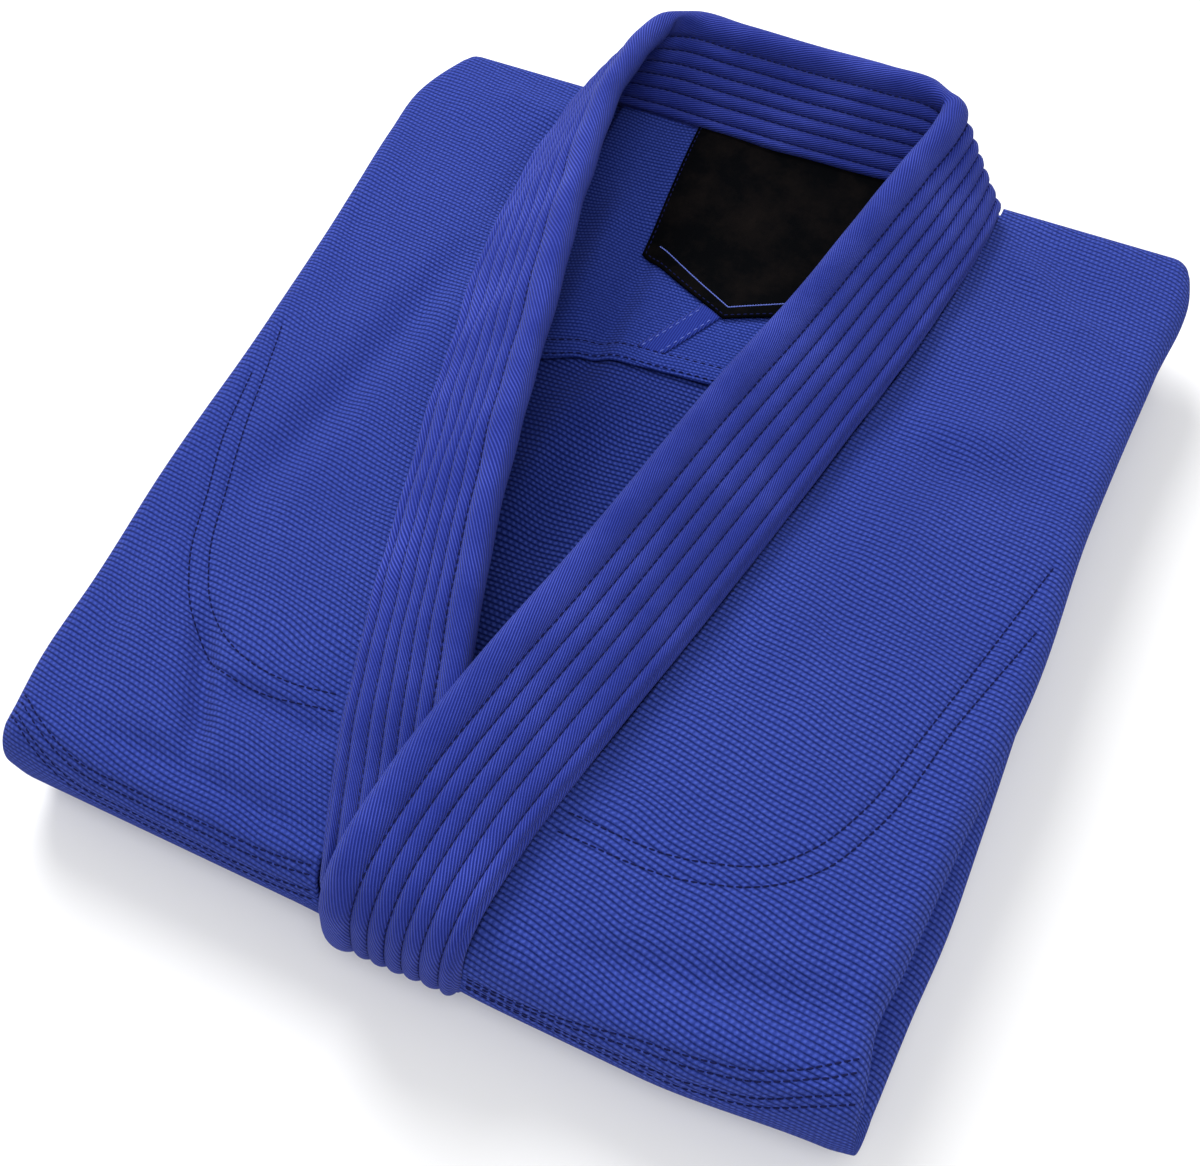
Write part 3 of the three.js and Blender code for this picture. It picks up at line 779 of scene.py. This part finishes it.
def twill(name, pitch=1.0 * MM, rise=0.28, lean=math.radians(-25),
          deep=TWILL_DEEP, mid=TWILL, light=TWILL_LIGHT):
    """Fine diagonal ribs of cotton twill, with painted shade in the hollows between ribs, faded patches
    lighter on the ribs' tops as a painted highlight, and loose fibres.
    """
    n = Nodes(name, 0.8, sheen=0.12, specular=0.08)
    u, v = n.cloth_place()
    place = n.place()
    drift = n.math("MULTIPLY", n.math("SUBTRACT", n.noise(place, 30.0, 2.0), 0.5), 0.002)
    across = n.math("MULTIPLY", u, math.cos(lean))
    along = n.math("MULTIPLY", v, math.sin(lean))
    diagonal = n.math("SUBTRACT", across, along)
    ribs = n.wave(n.math("ADD", diagonal, drift), pitch)
    fibre = n.noise(place, 1500.0, 4.0, 0.75)
    height = n.math("ADD", n.math("MULTIPLY", ribs, 0.62), n.math("MULTIPLY", fibre, 0.50))
    height = n.math("ADD", height, 0.11)
    # The colour darkens with the ribs' height: painted shade in the hollows.
    shade = n.math("MULTIPLY", height, 1.0, clamp=True)
    base = n.mix(shade, deep, mid)
    # Random faded patches, lighter on the ribs' tops: real fading with a painted highlight.
    fade = n.noise(place, 22.0, 5.0, 0.65)
    wear_and_highlight = n.math("MULTIPLY", n.math("SUBTRACT", fade, 0.42, clamp=True), 2.2, clamp=True)
    colour = n.mix(n.math("MULTIPLY", wear_and_highlight, shade), base, light)
    n.put(n.shader.inputs["Roughness"], n.math("SUBTRACT", 0.9, n.math("MULTIPLY", shade, 0.16)))
    return n.finish(colour, height, rise * MM)


def thread(name, colour, light):
    """Twisted sewing thread."""
    n = Nodes(name, 0.85, sheen=0.0, specular=0.05)
    place = n.place()
    fibre = n.noise(place, 1800.0, 3.0)
    return n.finish(n.mix(fibre, colour, light), fibre, 0.05 * MM)


def woven_label(name):
    """A black label in satin weave, with a brownish cast where it is rubbed."""
    n = Nodes(name, 0.8, sheen=0.0, specular=0.02)
    u, v = n.cloth_place()
    place = n.place()
    weave = n.math("ADD", n.wave(u, 0.55 * MM), n.math("MULTIPLY", n.wave(v, 0.42 * MM), 0.8))
    fibre = n.noise(place, 2200.0, 3.0)
    height = n.math("ADD", n.math("MULTIPLY", weave, 0.25), fibre)
    patches = n.math("SUBTRACT", n.noise(place, 28.0, 5.0, 0.7), 0.45, clamp=True)
    rubbed = n.math("MULTIPLY", patches, 3.5, clamp=True)
    colour = n.mix(rubbed, (0.0012, 0.0014, 0.0020, 1.0), (0.007, 0.0052, 0.0048, 1.0))
    return n.finish(colour, height, 0.06 * MM)


# ---- Building the pieces ------------------------------------------------------------------------
pearl = pearl_weave("pearl_weave", tilt=math.radians(-9))
# The back's inside, the yoke lining and the centre tape get darker copies of their weaves: painted shade of
# the neck's inside.
pearl_inside_shaded = pearl_weave("pearl_weave_inside_shaded", row=2.1 * MM, bead=2.2 * MM, rise=0.5,
                           deep=(0.0015, 0.004, 0.05, 1.0), mid=(0.013, 0.031, 0.24, 1.0))
yoke_weave_shaded = pearl_weave("yoke_weave_shaded", row=1.7 * MM, bead=1.7 * MM, rise=0.35,
                         deep=(0.004, 0.011, 0.10, 1.0), mid=(0.022, 0.046, 0.31, 1.0))
collar_twill = twill("collar_twill")
lining_twill = twill("lining_twill", pitch=0.7 * MM, rise=0.1, mid=(0.030, 0.052, 0.47, 1.0),
                     light=(0.045, 0.075, 0.58, 1.0))
tape_twill_shaded = twill("tape_twill_shaded", pitch=1.0 * MM, rise=0.12, mid=(0.022, 0.046, 0.30, 1.0),
                   light=(0.032, 0.062, 0.40, 1.0))
dark_thread = thread("dark_thread", THREAD, (0.012, 0.016, 0.09, 1.0))
light_thread = thread("light_thread", THREAD_LIGHT, (0.2, 0.26, 0.72, 1.0))
label_satin = woven_label("label_satin")

CLOTH = 1.8
LINING = 0.9
SIDES = {"left": 1, "right": -1}
front_grids = {}
FOLD_START = SHOULDER_ROWS + UPPER_ROWS - 1      # the grid row where the waist fold starts


def build_fronts():
    for name, side in SIDES.items():
        points = front_points(side)
        front_grids[name] = points
        uv = cloth_uv(points)
        uv[..., 0] *= side
        piece = shell_piece(f"{name}_front", points, -side, CLOTH, uv)
        finish_piece(piece, pearl, [f"{name}_front_panel", f"skirt_{name}_front"], crosses=True)


def build_back():
    points = back_points()
    piece = shell_piece("back", points, 1, CLOTH, cloth_uv(points, column=points.shape[1] // 2))
    finish_piece(piece, pearl_inside_shaded, ["back_panel"])


def build_yoke():
    def height(x, y):
        # The folded edge of the lining lies thicker than the rest.
        return back_height(x, y) + 1.0 + 1.1 * smooth((yoke_edge_y(x) + 11 - y) / 3.0)

    x = np.linspace(YOKE_RIGHT, YOKE_LEFT, 110)
    t = np.concatenate([np.linspace(0, 0.11, 12), np.linspace(0.11, 1, 60)[1:]])
    yy = yoke_edge_y(x)[None] + (NECK_Y + 1 - yoke_edge_y(x)[None]) * t[:, None]
    xx = np.broadcast_to(x, yy.shape)
    grid = np.stack([xx, yy, height(xx, yy)], axis=-1)
    piece = shell_piece("yoke_cloth", grid, 1, LINING)
    finish_piece(piece, yoke_weave_shaded, ["yoke_lining", "yoke_edge_tape"])
    rows = []
    for inset in (2.0, 9.2):
        places = np.stack([x, yoke_edge_y(x) + inset], axis=-1)
        up = np.tile([0.0, 0.0, 1.0], (len(x), 1))
        z = height(places[:, 0], places[:, 1]) + 0.25
        rows.append((np.column_stack([places, z]), up))
    finish_piece(stitch_mesh("yoke_stitches", rows, length=2.3, gap=1.0, radius=0.3), dark_thread, [])


def build_tape():
    foot = np.array([-19.0, YOKE_Y + 8])
    top = np.array([-2.5, 271.0])
    t = np.linspace(0, 1, 24)[:, None]
    middle = foot + (top - foot) * t
    along = (top - foot) / np.linalg.norm(top - foot)
    side = np.array([along[1], -along[0]])
    across = np.linspace(-5.2, 5.2, 9)
    xy = middle[:, None, :] + across[None, :, None] * side
    z = back_height(xy[..., 0], xy[..., 1]) + 1.65 + 0.25 * np.cos(across / 5.2 * math.pi / 2)
    piece = shell_piece("centre_tape", np.concatenate([xy, z[..., None]], axis=-1), 1, 0.5)
    finish_piece(piece, tape_twill_shaded, ["centre_back_tape"])
    rows = []
    for offset in (-3.6, 3.6):
        line = middle + offset * side
        height = back_height(line[:, 0], line[:, 1]) + 1.95
        rows.append((np.column_stack([line, height]), np.tile([0.0, 0.0, 1.0], (len(line), 1))))
    stitches = stitch_mesh("centre_tape_stitches", rows, length=2.0, gap=1.5, radius=0.22)
    finish_piece(stitches, light_thread, [])


def build_label():
    piece = shell_piece("label", label_points(2.6), 1, 0.7)
    finish_piece(piece, label_satin, ["neck_label"])
    border = label_points(2.75, shrink=5.0)[0]
    ups = np.tile([0.0, 0.0, 1.0], (len(border), 1))
    finish_piece(stitch_mesh("label_border", [(border, ups)], length=1.2, gap=-0.1, radius=0.28),
                 light_thread, [])
    outline = label_points(2.65, shrink=1.2)
    edge = np.concatenate([outline[::-1, 0], outline[0, 1:], outline[1:, -1]])
    rows = [(edge, np.tile([0.0, 0.0, 1.0], (len(edge), 1)))]
    stitches = stitch_mesh("label_stitches", rows, length=1.8, gap=0.8, radius=0.26)
    finish_piece(stitches, dark_thread, [])


def build_collar_piece():
    piece = build_collar()
    covers = ["left_lapel", "right_lapel", "neck_band", "left_lapel_tail", "right_lapel_tail"]
    nodes = [f"{c}_cover" for c in covers] + [f"{c}_core" for c in covers]
    finish_piece(piece, collar_twill, nodes, crosses=True)
    rows = []
    distance = np.arange(2.0, collar_length - 2.0, 1.0)
    for across in QUILT_ROWS:
        for face in (1, -1):
            place = np.full_like(distance, across)
            points = collar_point(distance, place, np.full_like(distance, face * 2.5))
            _, _, _, normal = collar_frame(distance)
            rows.append((points, face * normal))
    stitches = stitch_mesh("collar_stitches", rows, length=2.5, gap=0.6, radius=0.42, sunk=0.05)
    finish_piece(stitches, dark_thread, [], crosses=True)


# ---- Seams on the fronts ------------------------------------------------------------------------
def waist_row(name, step):
    """One stitch row along the waist seam: places on the front's own grid, with their normals."""
    side = SIDES[name]
    points = front_grids[name]
    normals = normals_of(points) * -side
    columns = np.arange(1, FLAT_COLUMNS + 4)
    x = points[FOLD_START, columns, 0]
    along = curve_through(*WAIST_ROW[side], x) + step * waist_spread(x)
    row_pitch = (SHOULDER_TOP - FOLD_Y) / (UPPER_ROWS - 1)
    row = np.where(along < 0, along / row_pitch, along / cloth_per_turn(x) / math.pi * FOLD_ROWS) + FOLD_START
    low = np.floor(row).astype(int)
    share = (row - low)[:, None]
    place = points[low, columns] * (1 - share) + points[low + 1, columns] * share
    normal = normals[low, columns]
    return place + 0.1 * normal, normal


def build_front_seams():
    for name, side in SIDES.items():
        points = front_grids[name]
        find = surface_lookup(points[SHOULDER_ROWS:FOLD_START + 1, :FLAT_COLUMNS + 4])
        rows = []
        for places in CHEST_SEAMS[side]:
            places, ups = find(along_places(places))
            rows.append((places + 0.1 * ups, ups))
        arcs = stitch_mesh(f"{name}_chest_stitches", rows, length=2.3, gap=0.45, radius=0.32)
        finish_piece(arcs, dark_thread, [f"{name}_chest_lining"])
        seam = stitch_mesh(f"{name}_waist_stitches", [waist_row(name, step) for step in WAIST_STEPS],
                           length=2.3, gap=0.45, radius=0.34)
        finish_piece(seam, dark_thread, [f"{name}_waist_seam_tape"], crosses=True)


# ---- Inner layers and hems ----------------------------------------------------------------------
def tube_points(x_from, x_to, y_from, y_to, z, half, rows=60):
    """A sleeve pressed flat: a closed flat loop carried along y."""
    around = np.linspace(0, 2 * math.pi, 49)
    middle = (x_from + x_to) / 2
    wide = abs(x_to - x_from) / 2
    x = middle + wide * np.sign(np.cos(around)) * np.abs(np.cos(around)) ** 0.45
    up = half * np.sign(np.sin(around)) * np.abs(np.sin(around)) ** 0.6
    y = np.linspace(y_from, y_to, rows)
    soft = 0.5 * np.sin(y / 17.0)[:, None] * np.sin(x / 11.0)
    return np.stack([np.broadcast_to(x, (rows, len(x))), np.broadcast_to(y[:, None], (rows, len(x))),
                     z + up + 0.4 * soft], axis=-1)


def build_sleeves():
    for name in SIDES:
        low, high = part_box(f"{name}_sleeve")
        middle = (low[2] + high[2]) / 2 / MM
        x_from, x_to = low[0] / MM, high[0] / MM
        points = tube_points(x_from + 1, x_to - 1, 41, 340, middle - 1.2, 1.5)
        piece = grid_piece(f"{name}_sleeve_cloth", points, cloth_uv(points), flip=True)
        finish_piece(piece, pearl, [f"{name}_sleeve"])
        cuff = tube_points(x_from, x_to, 40, 70, middle - 1.2, 2.4, rows=12)
        piece = grid_piece(f"{name}_cuff_facing", cuff, cloth_uv(cuff), flip=True)
        finish_piece(piece, lining_twill, [f"{name}_cuff"])


def build_shoulders():
    """Each shoulder turns down behind from the fronts and runs back under the body."""
    for name, side in SIDES.items():
        edge = LEFT_EDGE if side > 0 else RIGHT_EDGE
        middle_up = (ROLL_UP + INNER_UP) / 2
        half = (ROLL_UP - INNER_UP) / 2
        outer = curve_through(*edge, SHOULDER_TOP) - side * 8.0
        x = np.linspace(side * 88.0, outer, 30)
        rows = []
        for angle in np.linspace(math.pi / 2 - 0.05, math.pi, 9):
            y = SHOULDER_TOP + (SHOULDER_TURN - 0.4) * math.sin(angle)
            rows.append(np.stack([x, np.full_like(x, y),
                                  np.full_like(x, FOLD_Z + middle_up + half * math.cos(angle))], axis=-1))
        for y in np.linspace(SHOULDER_TOP, 300, 12)[1:]:
            rows.append(np.stack([x, np.full_like(x, y), np.full_like(x, FOLD_Z + INNER_UP)], axis=-1))
        piece = shell_piece(f"{name}_shoulder", np.array(rows), side, CLOTH)
        finish_piece(piece, pearl, [f"{name}_shoulder_yoke"])


def skirt_back_points():
    rows = []
    for y in np.linspace(8, HEM_Y - 1.5, 50):
        left = curve_through(*SKIRT_LEFT_EDGE, y) - 5
        right = curve_through(*SKIRT_RIGHT_EDGE, y) + 5
        psi = np.linspace(0, math.pi, 11)
        turn = 3.0
        flat = np.linspace(right + turn, left - turn, 90)
        rise = 8.2 + 8.6 * (1 - smooth((np.abs(flat) - 42) / 22.0))
        x = np.concatenate([np.linspace(right + turn + 50, right + turn, 8)[:-1],
                            right + turn - turn * np.sin(psi[:-1]), flat,
                            left - turn + turn * np.sin(psi[1:]),
                            np.linspace(left - turn, left - turn - 50, 8)[1:]])
        z = np.concatenate([np.full(7, 8.2 + 2 * turn), 8.2 + turn + turn * np.cos(psi[:-1]), rise,
                            8.2 + turn - turn * np.cos(psi[1:]), np.full(7, 8.2 + 2 * turn)])
        z = z + 0.35 * np.sin(x / 15.0) * np.sin(y / 21.0)
        rows.append(np.stack([x, np.full_like(x, y), z], axis=-1))
    return np.array(rows)


def build_skirt():
    piece = shell_piece("skirt_back_cloth", skirt_back_points(), 1, 1.5)
    finish_piece(piece, pearl, ["skirt_back"], body=SKIRT)
    for name, left, right, z in (("left_front_hem", 24, 148, 3.7), ("right_front_hem", -148, -62, 3.7),
                                 ("back_hem", -34, 34, 14.6)):
        def height(x, y, z=z):
            return z + 0.15 * np.sin(x / 9.0) + 0 * y
        grid = laid_grid(left, right, HEM_Y - 25, HEM_Y - 0.8, height, rows=12)
        facing = shell_piece(f"{name}_facing", grid, 1, 0.9)
        finish_piece(facing, lining_twill, [name], body=SKIRT)


# ---- Camera, light and floor --------------------------------------------------------------------
def build_camera():
    azimuth, elevation, roll = math.radians(25.52), math.radians(60.17), math.radians(-1.45)
    distance = 478.67 * MM
    target = Vector(world((-0.56, 153.61, 0.0)).tolist())
    back = Vector((math.sin(azimuth) * math.cos(elevation), -math.cos(azimuth) * math.cos(elevation),
                   math.sin(elevation)))
    level = (-back).cross(Vector((0, 0, 1))).normalized()
    upright = level.cross(-back)
    right = level * math.cos(roll) + upright * math.sin(roll)
    up = upright * math.cos(roll) - level * math.sin(roll)
    camera = bpy.data.objects.new("camera", bpy.data.cameras.new("camera"))
    camera.data.sensor_width = 36.0
    camera.data.lens = 36.81
    camera.data.clip_start = 0.01
    camera.matrix_world = Matrix.Translation(target + back * distance) @ Matrix(
        (right, up, back)).transposed().to_4x4()
    bpy.context.collection.objects.link(camera)
    bpy.context.scene.camera = camera


def area_light(name, place, aim, size, power, colour=(1.0, 1.0, 1.0)):
    light = bpy.data.objects.new(name, bpy.data.lights.new(name, "AREA"))
    light.data.shape = "DISK"
    light.data.size = size
    light.data.energy = power
    light.data.color = colour
    light.location = place
    direction = Vector(aim) - Vector(place)
    light.rotation_euler = direction.to_track_quat("-Z", "Y").to_euler()
    bpy.context.collection.objects.link(light)


def build_studio():
    floor_mesh = bpy.data.meshes.new("floor")
    reach = 3.0
    floor_mesh.from_pydata([(-reach, -reach, 0), (reach, -reach, 0), (reach, reach, 0), (-reach, reach, 0)],
                           [], [(0, 1, 2, 3)])
    floor = bpy.data.objects.new("floor", floor_mesh)
    bpy.context.collection.objects.link(floor)
    material = bpy.data.materials.new("pale_floor")
    material.use_nodes = True
    shader = material.node_tree.nodes["Principled BSDF"]
    shader.inputs["Base Color"].default_value = (0.90, 0.90, 0.90, 1.0)
    shader.inputs["Roughness"].default_value = 0.9
    floor_mesh.materials.append(material)
    sky = bpy.data.worlds.new("studio")
    sky.use_nodes = True
    background = sky.node_tree.nodes["Background"]
    background.inputs["Color"].default_value = (1.0, 1.0, 1.0, 1.0)
    background.inputs["Strength"].default_value = 0.65
    bpy.context.scene.world = sky
    area_light("key", (-0.95, 1.05, 1.25), (0, 0.05, 0), 1.0, 31)
    area_light("fill", (0.25, -0.45, 1.6), (0, 0, 0), 1.0, 9)
    bpy.context.scene.view_settings.view_transform = "Standard"


build_camera()
build_studio()
build_fronts()
build_back()
build_yoke()
build_tape()
build_label()
build_collar_piece()
build_front_seams()
build_sleeves()
build_shoulders()
build_skirt()

bpy.context.view_layer.update()
